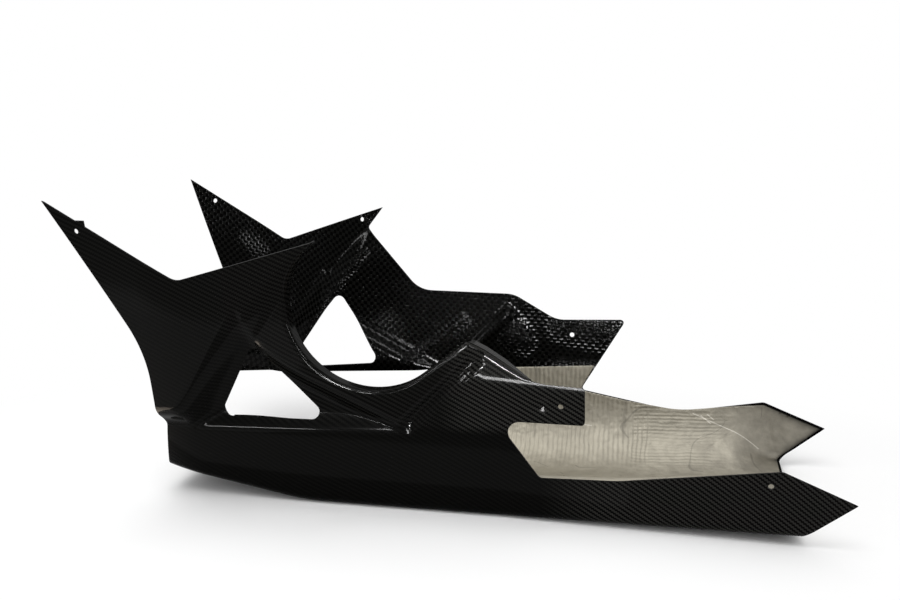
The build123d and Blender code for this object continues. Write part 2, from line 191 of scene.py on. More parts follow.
HORN_TIP, HORN_HEEL = (-139.0, 323.0), (-160.0, 296.0)
WAIST_FRONT, WAIST_REAR, RIGHT_ARM_KNEE = (-86.0, 214.0, 40.0), (43.0, 212.0, 40.0), (100.0, 180.0, 40.0)
RIGHT_ARM_TIP, RIGHT_ARM_HEEL, TAIL_SAG = (190.5, 182.5), (134.0, 90.0), (260.0, 66.0, 120.0)
LEFT_WINDOW = ((-269.0, 105.0, 9.0), (-134.0, 107.0, 9.0), (-218.0, 197.0, 9.0))
RIGHT_WINDOW = ((-272.0, 103.5, 9.0), (-136.0, 116.5, 9.0), (-199.5, 209.5, 9.0))
FOOT_HEIGHT, FOOT_RISE = 113.0, 0.0595
SCREW_RADIUS, DRAIN_RADIUS = 3.0, 1.5
LEFT_SCREWS = ((-402.0, 328.0), (134.0, 141.0), (354.0, 66.0))
RIGHT_SCREWS = ((-392.0, 328.0), (-169.0, 306.0), (121.0, 161.0))
DRAIN = (-332.0, 39.3)


def rounded_path(corners, step, closed=False):
    """Points along a path of straight runs, with each corner (x, z, radius) rounded by its own arc."""
    corners = [np.array(corner[:2] + (corner[2] if len(corner) > 2 else 0.0,)) for corner in corners]
    if closed:
        corners = [corners[-1], *corners, corners[0]]
    bends = [[corners[0][:2]]]
    for before, corner, after in zip(corners, corners[1:], corners[2:]):
        point, radius = corner[:2], corner[2]
        back, ahead = before[:2] - point, after[:2] - point
        back, ahead = back / np.hypot(*back), ahead / np.hypot(*ahead)
        half = np.arccos(np.clip(back @ ahead, -1, 1)) / 2
        middle = (back + ahead) / np.hypot(*(back + ahead))
        centre = point + middle * radius / sin(half)
        sweep = pi / 2 - half
        count = max(1, ceil(2 * sweep * radius / step))
        side = np.sign(back[0] * ahead[1] - back[1] * ahead[0])
        arc = []
        for turn in np.linspace(-sweep, sweep, count + 1) * side * -1:
            out = -middle * radius
            spun = (out[0] * cos(turn) - out[1] * sin(turn), out[0] * sin(turn) + out[1] * cos(turn))
            arc.append(centre + np.array(spun))
        bends.append(arc if radius else [point])
    if closed:
        bends[0] = [bends[-1][-1]]
    else:
        bends.append([corners[-1][:2]])
    points = [bends[0][0]]
    for bend in bends[1:]:
        run = bend[0] - points[-1]
        count = max(1, ceil(np.hypot(*run) / step))
        points += [points[-1] + run * share for share in np.linspace(0, 1, count + 1)[1:]]
        points += bend[1:]
    return np.array(points[1:] if closed else points)


def on_keel(x):
    return (x, float(keel_height(np.array(x))))


def on_foot(x):
    return (x, FOOT_HEIGHT + FOOT_RISE * x)


def on_ring(angle):
    return (RING_CENTRE[0] + RING_RADIUS * cos(angle), RING_CENTRE[1] + RING_RADIUS * sin(angle))


tip_fall = (VALLEY[1] - TIP[1]) / (VALLEY[0] - TIP[0])
spur_foot = (TIP[0] + SPUR_FROM, TIP[1] + SPUR_FROM * tip_fall)
spur_tip = (spur_foot[0] + SPUR_LENGTH, spur_foot[1])
spur_heel = (spur_tip[0], TIP[1] + (SPUR_FROM + SPUR_LENGTH) * tip_fall)
chin = on_keel(CHIN_X)
left_front = rounded_path([
    chin, NOSE_CORNER, (FRONT_X, FRONT_KNEE_Z, FRONT_BEND), TIP,
    spur_foot, spur_tip, spur_heel, VALLEY + (VALLEY_BEND,), on_ring(RING_FROM),
], EDGE_STEP)
ring = [on_ring(angle) for angle in np.linspace(RING_FROM, RING_TO, RING_STEPS)]
left_rear = rounded_path([
    on_ring(RING_TO), PEAK + (CORNER,), ARM_KNEE + (KNEE_BEND,),
    (ARM_END_X, ARM_TOP_Z, CORNER), (ARM_END_X, NOTCH_Z, CORNER), (NOTCH_X, NOTCH_Z, NOTCH_BEND),
    OPENING_FOOT, OPENING_SAG, SHOULDER + (SHOULDER_BEND,), TAIL_TIP, on_keel(HOOK_X),
], EDGE_STEP)
right_edge = rounded_path([
    chin, (CHIN_X, chin[1] + SILL_HEIGHT), SILL_REAR,
    on_foot(FOOT_FRONT_X) + (CORNER,), on_foot(RIGHT_FRONT_X),
    (RIGHT_FRONT_X, RIGHT_KNEE_Z, FRONT_BEND), RIGHT_TIP, VALLEY + (VALLEY_BEND,),
    HORN_TIP, HORN_HEEL + (CORNER,), WAIST_FRONT, WAIST_REAR, RIGHT_ARM_KNEE,
    RIGHT_ARM_TIP + (CORNER,), RIGHT_ARM_HEEL + (CORNER,), TAIL_SAG,
    SHOULDER + (SHOULDER_BEND,), TAIL_TIP, on_keel(HOOK_X),
], EDGE_STEP)

knee_at = int(np.argmax(left_rear[:, 0] > ARM_KNEE[0]))
flange_path = np.vstack([np.array(ring), left_rear[1:knee_at]])
flange_run = np.concatenate([[0], np.cumsum(np.hypot(*np.diff(flange_path, axis=0).T))])
flange_along = np.gradient(flange_path, axis=0)
flange_along = flange_along / np.hypot(*flange_along.T)[:, None]
flange_out = np.stack([-flange_along[:, 1], flange_along[:, 0]], axis=1)
from_flange_end = np.minimum(flange_run, flange_run[-1] - flange_run)
flange_share = np.clip(from_flange_end / FLANGE_FADE, FLANGE_LEAST, 1) ** 0.5
flange_girth = FLANGE_ROLL * (pi / 2 - 2) + FLANGE
flange_edge = flange_path + flange_out * (flange_share * flange_girth)[:, None]


def turned_in(x, z):
    """Where points of the left wall lie once its edge is turned in, and how far in they are."""
    new_x, new_z, inward = x.copy(), z.copy(), np.zeros_like(x)
    for part in np.array_split(np.arange(len(x)), max(1, len(x) // POINTS_AT_ONCE)):
        away_x = x[part][:, None] - flange_path[:, 0]
        away_z = z[part][:, None] - flange_path[:, 1]
        nearest = np.argmin(away_x ** 2 + away_z ** 2, axis=1)
        rows = np.arange(len(part))
        offset_x, offset_z = away_x[rows, nearest], away_z[rows, nearest]
        out, along = flange_out[nearest], flange_along[nearest]
        past = offset_x * out[:, 0] + offset_z * out[:, 1]
        beside = offset_x * along[:, 0] + offset_z * along[:, 1]
        roll = FLANGE_ROLL * flange_share[nearest]
        travel = np.clip(past + roll, 0, None)
        turn = np.minimum(travel / roll, pi / 2)
        before_start = (nearest == 0) & (beside < -FLANGE_END_SLACK)
        past_end = (nearest == len(flange_path) - 1) & (beside > FLANGE_END_SLACK)
        close = (np.hypot(offset_x, offset_z) < 3 * FLANGE) & (travel > 0) & ~before_start & ~past_end
        moved = roll * np.sin(turn) - roll
        place = flange_path[nearest] + out * moved[:, None] + along * beside[:, None]
        new_x[part] = np.where(close, place[:, 0], x[part])
        new_z[part] = np.where(close, place[:, 1], z[part])
        depth = roll * (1 - np.cos(turn)) + np.maximum(travel - roll * pi / 2, 0)
        inward[part] = np.where(close, depth, 0)
    return new_x, new_z, inward


def laid_flat(points, side):
    """Side-view points as places on the flat cloth: x, and the girth from the middle of the floor."""
    x, z = points[:, 0], points[:, 1]
    turn = pi / 2 - np.arctan(lower_lean(x))
    rise = np.clip((z - keel_height(x)) / KEEL_RADIUS, 0, None)
    angle = np.minimum(np.arccos(np.clip(1 - rise, -1, 1)), turn)
    above = np.maximum(z - keel_height(x) - KEEL_RADIUS * (1 - np.cos(turn)), 0)
    return np.stack([x, side * (FLOOR_REACH + KEEL_RADIUS * angle + above)], axis=1)


def moulded(flat):
    """Points of the flat cloth, formed to the pan's outer face."""
    x, girth = flat[:, 0], np.abs(flat[:, 1])
    side = np.sign(flat[:, 1])
    keel = keel_height(x)
    turn = pi / 2 - np.arctan(lower_lean(x))
    angle = np.clip((girth - FLOOR_REACH) / KEEL_RADIUS, 0, turn)
    rise = np.maximum(girth - FLOOR_REACH - KEEL_RADIUS * turn, 0)
    floor_half = keel_half(x) - KEEL_RADIUS * np.tan(turn / 2)
    half = floor_half * np.clip(girth / FLOOR_REACH, 0, 1) + KEEL_RADIUS * np.sin(angle)
    z = keel + KEEL_RADIUS * (1 - np.cos(angle)) + rise
    left = (side < 0) & (rise > 0)
    inward = np.zeros_like(x)
    x = x.copy()
    x[left], z[left], inward[left] = turned_in(x[left], z[left])
    half = np.where(rise > 0, wall_half(x, z, side) - inward, half)
    return np.stack([x, side * half, z], axis=1)


def kept_in_box(points):
    """Points in mm, held inside the box of the construction model."""
    low, high = np.array(cad_box[0]) / MM + BOX_GAP, np.array(cad_box[1]) / MM - BOX_GAP
    return np.clip(points, low, high)


def outward(flat):
    """Unit normals of the outer face."""
    across = moulded(flat + (NORMAL_REACH, 0)) - moulded(flat - (NORMAL_REACH, 0))
    up = moulded(flat + (0, NORMAL_REACH)) - moulded(flat - (0, NORMAL_REACH))
    normal = np.cross(up, across)
    return normal / np.linalg.norm(normal, axis=1)[:, None]


# Carbon shell, its mesh.
# The cloth is meshed flat inside its trimmed edges, formed to the mould and given its thickness.
# Finer rows follow the rolled flange and the arm's ridge, where the cloth bends most.
GRID, FLOOR_GRID, FINE_GRID = 3.2, 12.0, 1.5
EDGE_CLEARANCE, WELD = 0.6, 1e-6
WALL_GRID_IN, FLOOR_GRID_LEFT, FLOOR_GRID_RIGHT = 4.0, 12.0, 8.0
ROLL_ROWS, RIDGE_ROWS = (-7.5, 3.1), (-7.5, 7.6)


def inside_loops(points, loops):
    """Which points lie inside the outer loop and outside the holes."""
    inside = np.zeros(len(points), dtype=bool)
    x, y = points[:, 0], points[:, 1]
    for loop in loops:
        for (x1, y1), (x2, y2) in zip(loop, np.roll(loop, -1, axis=0)):
            if y1 != y2:
                inside ^= ((y1 > y) != (y2 > y)) & (x < (x2 - x1) * (y - y1) / (y2 - y1) + x1)
    return inside


def staggered_grid(low, high, step):
    """Points in offset rows between two corners."""
    rows = []
    for index, y in enumerate(np.arange(low[1], high[1], step * 0.866)):
        x = np.arange(low[0] + step / 2 * (index % 2), high[0], step)
        rows.append(np.stack([x, np.full_like(x, y)], axis=1))
    return np.vstack(rows)


def edge_finder(border):
    """A search tree over the points of an edge."""
    tree = kdtree.KDTree(len(border))
    for index, (x, y) in enumerate(border):
        tree.insert((x, y, 0), index)
    tree.balance()
    return tree


def flat_mesh(loops, grids):
    """Triangles that fill the flat outline, as points and corner numbers."""
    edges, start = [], 0
    for loop in loops:
        count = len(loop)
        edges += [(start + index, start + (index + 1) % count) for index in range(count)]
        start += count
    border = np.vstack(loops)
    tree = edge_finder(border)
    points = [border]
    for grid, step in grids:
        grid = grid[inside_loops(grid, loops)]
        clear = [tree.find((x, y, 0))[2] > EDGE_CLEARANCE * min(step, GRID) for x, y in grid]
        points.append(grid[np.array(clear, dtype=bool)])
    vectors = [Vector(point) for point in np.vstack(points)]
    found, _, triangles, _, _, _ = geometry.delaunay_2d_cdt(vectors, edges, [], 0, WELD)
    found = np.array([tuple(point) for point in found])
    triangles = np.array(triangles)
    triangles = triangles[inside_loops(found[triangles].mean(axis=1), loops)]
    ahead = found[triangles[:, 1]] - found[triangles[:, 0]]
    beyond = found[triangles[:, 2]] - found[triangles[:, 0]]
    turned = ahead[:, 0] * beyond[:, 1] - ahead[:, 1] * beyond[:, 0] < 0
    triangles[turned] = triangles[turned][:, ::-1]
    return found, triangles


def open_edges(triangles):
    """Directed edges that belong to one triangle only."""
    edges = np.vstack([triangles[:, [0, 1]], triangles[:, [1, 2]], triangles[:, [2, 0]]])
    known = set(map(tuple, edges))
    return np.array([edge for edge in map(tuple, edges) if edge[::-1] not in known])


def sheet_object(name, flat, triangles, outer, inner, normals, materials, marks):
    """A closed sheet: outer face, inner face and the cut edge between them, each with its own material.

    Each mark is a named value at every point, first on the outer face and then on the inner."""
    count = len(flat)
    rim = open_edges(triangles)
    faces = [tuple(face[::-1]) for face in triangles]
    faces += [tuple(face + count) for face in triangles]
    faces += [(a, b, b + count, a + count) for a, b in rim]
    mesh = bpy.data.meshes.new(name)
    points = kept_in_box(np.vstack([outer, inner]))
    mesh.from_pydata(points * MM, [], [tuple(map(int, face)) for face in faces])
    slots = np.repeat([0, 1, 2], [len(triangles), len(triangles), len(rim)])
    mesh.polygons.foreach_set("material_index", slots.astype(np.int32))
    mesh.polygons.foreach_set("use_smooth", np.ones(len(faces), dtype=bool))
    corners = np.empty(len(mesh.loops), dtype=np.int32)
    mesh.loops.foreach_get("vertex_index", corners)
    uv = mesh.uv_layers.new(name="laid_flat")
    uv.data.foreach_set("uv", (np.vstack([flat, flat])[corners] * MM).astype(np.float32).ravel())
    for material in materials:
        mesh.materials.append(material)
    if normals is not None:
        loop_normals = np.vstack([normals, -normals])[corners]
        a, b = points[rim[:, 0]], points[rim[:, 1]]
        rim_normals = np.cross(b - a, points[rim[:, 0] + count] - a)
        rim_normals = rim_normals / np.linalg.norm(rim_normals, axis=1)[:, None]
        loop_normals[6 * len(triangles):] = np.repeat(rim_normals, 4, axis=0)
        mesh.normals_split_custom_set(loop_normals.tolist())
    for mark, values in marks.items():
        values = np.asarray(values, dtype=np.float32)
        kind, field = ("FLOAT_VECTOR", "vector") if values.ndim == 2 else ("FLOAT", "value")
        mesh.attributes.new(mark, kind, "POINT").data.foreach_set(field, values.ravel())
    piece = bpy.data.objects.new(name, mesh)
    bpy.context.scene.collection.objects.link(piece)
    return piece


def hole_loop(centre, radius, side):
    angles = np.linspace(0, 2 * pi, HOLE_STEPS, endpoint=False)
    x, z = centre[0] + radius * np.cos(angles), centre[1] + radius * np.sin(angles)
    return laid_flat(np.stack([x, z], axis=1), side)


left_edge = np.vstack([left_front[:-1], flange_edge, left_rear[knee_at:]])
border = np.vstack([laid_flat(left_edge, -1), laid_flat(right_edge, 1)[::-1]])
shell_loops = [border, laid_flat(rounded_path(LEFT_WINDOW, EDGE_STEP, closed=True), -1)]
shell_loops += [laid_flat(rounded_path(RIGHT_WINDOW, EDGE_STEP, closed=True), 1)]
shell_loops += [hole_loop(place, SCREW_RADIUS, -1) for place in LEFT_SCREWS]
shell_loops += [hole_loop(place, SCREW_RADIUS, 1) for place in RIGHT_SCREWS]
shell_loops += [hole_loop(DRAIN, DRAIN_RADIUS, -1)]
reach = float(np.abs(border[:, 1]).max())
shell_grids = [
    (staggered_grid((TIP[0], FLOOR_REACH - WALL_GRID_IN), (TAIL_X, reach), GRID), GRID),
    (staggered_grid((TIP[0], -reach), (TAIL_X, -FLOOR_REACH + WALL_GRID_IN), GRID), GRID),
]
floor_low, floor_high = (TIP[0], FLOOR_GRID_LEFT - FLOOR_REACH), (TAIL_X, FLOOR_REACH - FLOOR_GRID_RIGHT)
shell_grids += [(staggered_grid(floor_low, floor_high, FLOOR_GRID), FLOOR_GRID)]
rolled = [flange_path[::2] + flange_out[::2] * shift for shift in np.arange(*ROLL_ROWS, FINE_GRID)]
ridge_x = np.arange(RIDGE_X - RIDGE_RUN_IN, ARM_END_X, GRID)
ridge_z = RIDGE_Z - RIDGE_FALL * (ridge_x - RIDGE_X)
ridged = [np.column_stack([ridge_x, ridge_z + shift]) for shift in np.arange(*RIDGE_ROWS, FINE_GRID)]
shell_grids += [(laid_flat(np.vstack(rolled + ridged), -1), FINE_GRID)]
shell_flat, shell_triangles = flat_mesh(shell_loops, shell_grids)
shell_outer = moulded(shell_flat)
shell_normals = outward(shell_flat)


# Carbon shell, its finish.
# Outside, fine twill shows under clear gloss resin; inside, coarse plain weave shows through uneven resin.
# The marks on the mesh say where the twill shows outside, a painted sheen standing for where light catches
# the weave, and how thick the resin lies inside.
TWILL_TOW, TWILL_TURN, DRAPE = 0.0019, radians(25), (-0.173, -0.000347)
PLAIN_TOW, PLAIN_TURN = 0.0046, radians(4)
# The twill's dark and light tows, and the plain dark tone where it gets no painted sheen.
TWILL_DARK, TWILL_LIGHT = (0.0006, 0.0006, 0.0005), (0.024, 0.0235, 0.0215)
TWILL_WITHOUT_SHEEN = (0.0011, 0.0011, 0.0009)
PLAIN_DARK, PLAIN_LIGHT = (0.0003, 0.0003, 0.0002), (0.0046, 0.0046, 0.0042)
CUT_DARK, CUT_LIGHT = (0.002, 0.002, 0.0018), (0.01, 0.01, 0.009)
# How much painted sheen the twill gets outside, standing for where light catches the weave; the lower front
# panel gets less.
SHEEN_LEAST, SHEEN_FRONT, SHEEN_FRONT_GAIN, SHEEN_TAIL = 0.08, 0.15, 0.1, 0.8
LEDGE_FADE, FRONT_FADE, TAIL_FADE = (-6.0, 10.0), (-330.0, -200.0), (90.0, 190.0)
ARM_FADE, ARM_SLOPE, ARM_RISE_FADE = (-20.0, 40.0), 0.5, (20.0, 60.0)
GLOSS_LINE, GLOSS_FALL, GLOSS_FADE = (-352.0, 238.0), 0.21, (-8.0, 8.0)
GLOSS_REAR_X, GLOSS_REAR_FADE, LOW_PANEL_SHEEN_LOSS = -190.0, (0.0, 30.0), 0.5
RESIN_LEAST, RESIN_REAR, RESIN_REAR_FADE = 0.04, 0.12, (20.0, 70.0)
RESIN_RUNS = (
    ((-165.0, 262.0), (-236.0, 168.0), 5.0, 1.0), ((-100.0, 118.0), (-24.0, 176.0), 6.0, 0.9),
    ((40.0, 164.0), (54.0, 150.0), 18.0, 1.0), ((110.0, 170.0), (182.0, 158.0), 20.0, 0.9),
    ((-170.0, 310.0), (-150.0, 300.0), 6.0, 0.8), ((-345.0, 280.0), (-320.0, 255.0), 20.0, 0.18),
)


def eased(value, low, high):
    """Nought below low, one above high, with a smooth rise between them."""
    share = np.clip((value - low) / (high - low), 0, 1)
    return share * share * (3 - 2 * share)


def twill_sheen_shown(points):
    """How much painted sheen the twill gets, where light catches the weave: much on the arm and tail,
    little below the ledge and on the panel.
    """
    x, z = points[:, 0], points[:, 2]
    upper = eased(z - ledge_height(x), *LEDGE_FADE)
    below_line = GLOSS_LINE[1] - GLOSS_FALL * (x - GLOSS_LINE[0]) - z
    low_panel = eased(GLOSS_REAR_X - x, *GLOSS_REAR_FADE) * eased(below_line, *GLOSS_FADE)
    front = (SHEEN_FRONT + SHEEN_FRONT_GAIN * eased(x, *FRONT_FADE)) * (1 - LOW_PANEL_SHEEN_LOSS * low_panel) * upper
    arm = eased(x, *ARM_FADE) * upper * eased(z - ARM_SLOPE * x, *ARM_RISE_FADE)
    tail = eased(x, *TAIL_FADE) * SHEEN_TAIL
    return np.maximum(SHEEN_LEAST, np.maximum(front, np.maximum(arm, tail)))


def from_run(x, z, start, end):
    """Distance of points from the straight run between two places."""
    along = np.array(end) - np.array(start)
    share = np.clip(((x - start[0]) * along[0] + (z - start[1]) * along[1]) / (along @ along), 0, 1)
    return np.hypot(x - start[0] - share * along[0], z - start[1] - share * along[1])


def resin_depth(points):
    """How thick the resin lies on the inner face, along a few runs on the right wall."""
    x, z = points[:, 0], points[:, 2]
    depth = np.full(len(points), RESIN_LEAST) + RESIN_REAR * eased(x, *RESIN_REAR_FADE)
    for start, end, spread, amount in RESIN_RUNS:
        depth = np.maximum(depth, amount * np.exp(-(from_run(x, z, start, end) / spread) ** 2))
    return depth


def calculate(tree, operation, *values):
    """The result of a math node; each value is a number or another node's output."""
    node = tree.nodes.new("ShaderNodeMath")
    node.operation = operation
    for socket, value in zip(node.inputs, values):
        if isinstance(value, bpy.types.NodeSocket):
            tree.links.new(value, socket)
        else:
            socket.default_value = value
    return node.outputs[0]


def woven(tree, uv_map, tow, turn, run):
    """Which tows lie on top, 1 or 0, and their rounded height, for cloth that passes over run tows."""
    uv = tree.nodes.new("ShaderNodeUVMap")
    uv.uv_map = uv_map
    mapping = tree.nodes.new("ShaderNodeMapping")
    mapping.inputs["Rotation"].default_value = (0, 0, turn)
    mapping.inputs["Scale"].default_value = (1 / tow, 1 / tow, 1)
    tree.links.new(uv.outputs["UV"], mapping.inputs["Vector"])
    parts = tree.nodes.new("ShaderNodeSeparateXYZ")
    tree.links.new(mapping.outputs["Vector"], parts.inputs["Vector"])
    u, v = parts.outputs["X"], parts.outputs["Y"]
    cell = calculate(tree, "SUBTRACT", calculate(tree, "FLOOR", u), calculate(tree, "FLOOR", v))
    over = calculate(tree, "LESS_THAN", calculate(tree, "FLOORED_MODULO", cell, 2.0 * run), run - 0.5)
    across_u = calculate(tree, "MULTIPLY_ADD", calculate(tree, "FRACT", u), 2.0, -1.0)
    across_v = calculate(tree, "MULTIPLY_ADD", calculate(tree, "FRACT", v), 2.0, -1.0)
    round_u = calculate(tree, "SUBTRACT", 1.0, calculate(tree, "POWER", across_u, 2.0))
    round_v = calculate(tree, "SUBTRACT", 1.0, calculate(tree, "POWER", across_v, 2.0))
    under = calculate(tree, "SUBTRACT", 1.0, over)
    height = calculate(
        tree, "ADD", calculate(tree, "MULTIPLY", round_u, over), calculate(tree, "MULTIPLY", round_v, under)
    )
    return over, height


def blended(tree, factor, first, second):
    """A colour between two others; first and second are colours or another node's output."""
    mix = tree.nodes.new("ShaderNodeMix")
    mix.data_type = "RGBA"
    tree.links.new(factor, mix.inputs["Factor"])
    sockets = [socket for socket in mix.inputs if socket.type == "RGBA"]
    for socket, value in zip(sockets, (first, second)):
        if isinstance(value, bpy.types.NodeSocket):
            tree.links.new(value, socket)
        else:
            socket.default_value = (*value, 1)
    return next(socket for socket in mix.outputs if socket.type == "RGBA")


def speckle(tree, scale, detail):
    """Noise on the piece's own coordinates."""
    place = tree.nodes.new("ShaderNodeTexCoord")
    texture = tree.nodes.new("ShaderNodeTexNoise")
    texture.inputs["Scale"].default_value = scale
    texture.inputs["Detail"].default_value = detail
    tree.links.new(place.outputs["Object"], texture.inputs["Vector"])
    return texture.outputs["Fac"]


def raised(tree, height, strength, distance, below=None):
    bump = tree.nodes.new("ShaderNodeBump")
    bump.inputs["Strength"].default_value = strength
    bump.inputs["Distance"].default_value = distance
    tree.links.new(height, bump.inputs["Height"])
    if below is not None:
        tree.links.new(below, bump.inputs["Normal"])
    return bump.outputs["Normal"]


def new_material(name):
    material = bpy.data.materials.new(name)
    material.use_nodes = True
    return material, material.node_tree, material.node_tree.nodes["Principled BSDF"]


def marked(tree, name):
    """A value kept at each point of the mesh."""
    node = tree.nodes.new("ShaderNodeAttribute")
    node.attribute_name = name
    return node.outputs["Fac"]


def twill_finish():
    """Twill under clear gloss resin, its light tows shown as painted sheen where the mark says light
    catches them, and a plain dark tone elsewhere.
    """
    material, tree, shader = new_material("gloss_twill")
    over, height = woven(tree, "draped", TWILL_TOW, TWILL_TURN, run=2)
    shown = marked(tree, "cloth")
    cloth = blended(tree, over, TWILL_DARK, TWILL_LIGHT)
    # Painted sheen: the weave shows lighter only where the mark says light catches it.
    colour = blended(tree, shown, TWILL_WITHOUT_SHEEN, cloth)
    tree.links.new(colour, shader.inputs["Base Color"])
    shown_height = calculate(tree, "MULTIPLY", height, shown)
    weave = raised(tree, shown_height, strength=0.3, distance=0.0004)
    tree.links.new(weave, shader.inputs["Normal"])
    shader.inputs["Roughness"].default_value = 0.4
    shader.inputs["IOR"].default_value = 1.02
    shader.inputs["Coat Weight"].default_value = 1.0
    shader.inputs["Coat IOR"].default_value = 1.085
    shader.inputs["Coat Roughness"].default_value = 0.1
    return material


def plain_weave_finish():
    """Bare plain weave, with wet drips of resin where it lies thick."""
    material, tree, shader = new_material("resin_plain_weave")
    over, height = woven(tree, "laid_flat", PLAIN_TOW, PLAIN_TURN, run=1)
    depth = marked(tree, "cloth")
    colour = blended(tree, over, PLAIN_DARK, PLAIN_LIGHT)
    tree.links.new(colour, shader.inputs["Base Color"])
    coated_height = calculate(tree, "MULTIPLY", height, depth)
    weave = raised(tree, coated_height, strength=0.8, distance=0.0012)
    drops = speckle(tree, scale=260.0, detail=2.0)
    drips = calculate(tree, "MULTIPLY", drops, calculate(tree, "POWER", depth, 2.0))
    wet = raised(tree, drips, strength=0.9, distance=0.003, below=weave)
    tree.links.new(wet, shader.inputs["Normal"])
    shader.inputs["Roughness"].default_value = 0.1
    shader.inputs["IOR"].default_value = 1.06
    return material


def cut_edge_finish():
    """The sawn edge of the laminate, finely speckled."""
    material, tree, shader = new_material("cut_laminate_edge")
    colour = blended(tree, speckle(tree, scale=900.0, detail=2.0), CUT_DARK, CUT_LIGHT)
    tree.links.new(colour, shader.inputs["Base Color"])
    shader.inputs["Roughness"].default_value = 0.4
    shader.inputs["IOR"].default_value = 1.12
    return material


shell_inner = shell_outer - shell_normals * WALL
shell = sheet_object(
    "carbon_shell", shell_flat, shell_triangles, shell_outer, shell_inner, shell_normals,
    (twill_finish(), plain_weave_finish(), cut_edge_finish()),
    # The cloth mark holds the twill's painted sheen on the outer face and the resin depth on the inner
    # face.
    {"cloth": np.concatenate([twill_sheen_shown(shell_outer), resin_depth(shell_outer)])},
)
draped = np.vstack([shell_flat, shell_flat])
draped[:, 1] += DRAPE[0] * draped[:, 0] + DRAPE[1] * draped[:, 0] ** 2
shell_corners = np.empty(len(shell.data.loops), dtype=np.int32)
shell.data.loops.foreach_get("vertex_index", shell_corners)
draped_map = shell.data.uv_layers.new(name="draped")
draped_map.data.foreach_set("uv", (draped[shell_corners] * MM).astype(np.float32).ravel())
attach(shell, "root")
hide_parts("pan_shell")

# Heat foil.
# One sheet of soft aluminium foil, stuck to the inside of the rear trough as a heat shield.
# It was rubbed down by hand, so it spans the keel's corner and is ribbed, creased and scuffed.
FOIL, FOIL_GAP, FOIL_MARGIN, FOIL_GRID = 0.5, 0.05, 3.0, 2.6
FOIL_FRONT_X, FOIL_SHOULDER, FOIL_TAIL = -58.0, (365.0, 79.5, 8.0), (434.0, 51.5)
LEFT_FOIL_TOP_X, LEFT_FOIL_FOOT, LEFT_FOIL_SAG = 70.0, (108.0, 50.5, 6.0), (195.0, 54.3, 150.0)
RIGHT_FOIL_TOP_X, RIGHT_FOIL_FOOT_X = -10.0, (0.0, 151.0)
RIGHT_FOIL_HEEL, RIGHT_FOIL_SAG = (133.0, 89.3, 4.0), (260.0, 65.2, 120.0)
BRIDGE, BRIDGE_FRONT, BRIDGE_REAR = 80.0, (4.0, 50.0), (4.0, 60.0)
RIB_PITCH, RIB_HEIGHT, RIB_WANDER, RIB_WALL = 4.6, 0.16, 14.0, (14.0, 24.0)
UPRIGHT_RIBS, LEVEL_RIBS, RIB_FADE, LEVEL_RIB_FADE = (40.0, 226.0), (200.0, 330.0), 6.0, 40.0
RIB_GRID_FRONT, RIB_GRID_LOW = 4.0, 8.0
ROW_PITCH, ROW_SWAY, ROW_WALL, LEVEL_ROW_SHARE = 6.0, 9.0, (-44.0, -10.0), 0.45
CREASE_SIZE, SMALL_CREASE, CREASE_HEIGHT, CREASE_SEED = 34.0, 0.4, 2.2, 7.0
FOIL_SEAMS, SEAM_HALF, SEAM_SOIL = (76.0, 192.0), 2.2, 0.22
SOIL_MOST, SOIL_REACH, SOIL_FADE = 0.9, 5.0, (300.0, 400.0)
# The foil turns darker and more mottled towards the rear, in two steps, then its colours in front and at
# the rear.
REAR_TONE_FIRST_STEP, REAR_TONE_SECOND_STEP = (-40.0, 120.0), (190.0, 400.0)
FRONT_FOIL_DARK, FRONT_FOIL_LIGHT = (0.355, 0.33, 0.266), (0.485, 0.452, 0.375)
REAR_FOIL_DARK, REAR_FOIL_LIGHT = (0.155, 0.145, 0.123), (0.45, 0.421, 0.353)
# Soil and scratch colours, and the dark colour painted along fold lines as shade.
SOIL_COLOUR, SCRATCH_COLOUR, FOLD_SHADE_COLOUR = (0.02, 0.019, 0.016), (0.7, 0.67, 0.6), (0.1, 0.094, 0.08)
FOLD_LINE, FOLD_SHADE_SHARE = 0.004, 0.3
SCRATCH_STEP, SCRATCH_ASIDE, SCRATCH_HALF, SCRATCH_GRID, SCRATCH_LIFT = 1.4, 0.9, 0.85, 0.4, 0.8
FOIL_SCRATCHES = (
    ((278.0, 61.0), (360.0, 18.0)), ((288.0, 58.0), (300.0, 46.0)), ((296.0, 60.0), (304.0, 52.0)),
    ((40.0, 96.0), (66.0, 40.0)), ((96.0, 44.0), (150.0, 36.0)),
)


def foil_top(x):
    return (x, float(ledge_height(x)) - FOIL_MARGIN)


left_foil_edge = rounded_path([
    foil_top(FOIL_FRONT_X), foil_top(LEFT_FOIL_TOP_X), LEFT_FOIL_FOOT, LEFT_FOIL_SAG,
    FOIL_SHOULDER, FOIL_TAIL, on_keel(HOOK_X - FOIL_MARGIN),
], EDGE_STEP)
right_foil_edge = rounded_path([
    foil_top(FOIL_FRONT_X), foil_top(RIGHT_FOIL_TOP_X), *map(on_foot, RIGHT_FOIL_FOOT_X),
    RIGHT_FOIL_HEEL, RIGHT_FOIL_SAG, FOIL_SHOULDER, FOIL_TAIL, on_keel(HOOK_X - FOIL_MARGIN),
], EDGE_STEP)
foil_border = np.vstack([laid_flat(left_foil_edge, -1), laid_flat(right_foil_edge, 1)[::-1]])
foil_loops = [foil_border, hole_loop(LEFT_SCREWS[2], SCREW_RADIUS + FOIL_MARGIN, -1)]
foil_reach = float(np.abs(foil_border[:, 1]).max())
foil_grids = [(staggered_grid((FOIL_FRONT_X, -foil_reach), (TAIL_X, foil_reach), FOIL_GRID), FOIL_GRID)]
rib_low = (UPRIGHT_RIBS[0] - RIB_GRID_FRONT, FLOOR_REACH + RIB_GRID_LOW)
